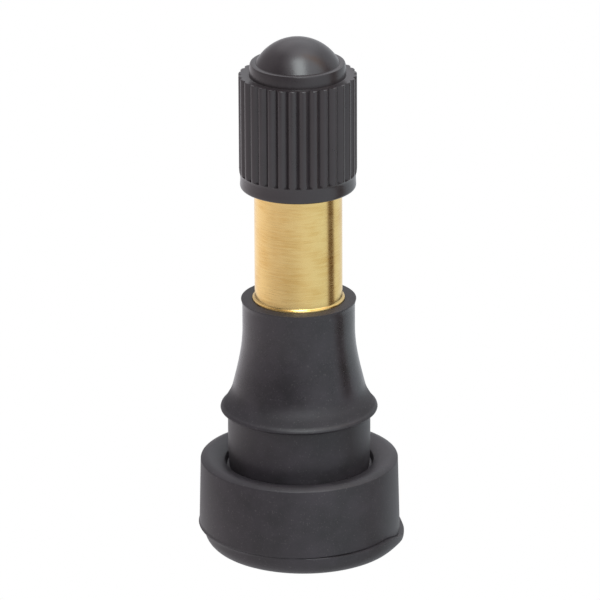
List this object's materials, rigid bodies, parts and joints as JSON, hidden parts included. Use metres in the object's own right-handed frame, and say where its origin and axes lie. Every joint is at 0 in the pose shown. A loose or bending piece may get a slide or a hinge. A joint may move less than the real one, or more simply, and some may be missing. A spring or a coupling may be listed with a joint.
{
  "type": "tyre valve",
  "caption": "Snap-in tyre valve: rubber body with rim groove, exposed brass stem, ribbed screw cap and spring-loaded valve core.",
  "frame": {"origin": "on the valve's axis, in the plane of the rubber foot", "axes": "+Z along the valve's axis towards the cap; the picture looks along +Y"},
  "size_m": [0.0196, 0.0188, 0.05],
  "materials": {
    "body_rubber": "satin black moulded rubber with fine dust specks",
    "turned_brass": "turned brass with fine circumferential tool marks",
    "cap_plastic": "satin black moulded plastic",
    "seal_rubber": "matt black rubber",
    "core_brass": "turned brass",
    "gasket_resin": "smooth red sealing resin",
    "spring_steel": "drawn steel wire"
  },
  "bodies": {
    "valve_body": {"rubber_body": "body_rubber", "brass_stem": "turned_brass"},
    "cap_carrier": {"cap_seal": "seal_rubber"},
    "cap": {"dust_cap": "cap_plastic"},
    "core": {"core_barrel": "core_brass", "core_gasket": "gasket_resin", "core_spring": "spring_steel"},
    "core_turner": {"core_plug": "core_brass"},
    "plunger": {"core_pin": "core_brass", "core_cup": "core_brass", "core_washer": "seal_rubber"}
  },
  "joints": [
    {"name": "cap_lift", "type": "slide", "parent": "valve_body", "child": "cap_carrier", "axis": [0, 0, 1], "range_m": [0, 0.01032]},
    {"name": "cap_turn", "type": "hinge", "parent": "cap_carrier", "child": "cap", "pos_m": [0, 0, 0.0455], "axis": [0, 0, 1], "range_deg": [0, 4680]},
    {"name": "core_lift", "type": "slide", "parent": "valve_body", "child": "core", "axis": [0, 0, 1], "range_m": [0, 0.00317]},
    {"name": "core_turn", "type": "hinge", "parent": "core", "child": "core_turner", "pos_m": [0, 0, 0.0393], "axis": [0, 0, 1], "range_deg": [0, 1620]},
    {"name": "pin_press", "type": "slide", "parent": "core", "child": "plunger", "axis": [0, 0, -1], "range_m": [0, 0.0015], "stiffness_N_per_m": 1000, "springref_m": -0.002, "deforming": ["core_spring"]}
  ],
  "couplings": [
    {"joint": "cap_turn", "follows": "cap_lift", "rad_per_m": 7915.8},
    {"joint": "core_turn", "follows": "core_lift", "rad_per_m": 8905.3}
  ]
}
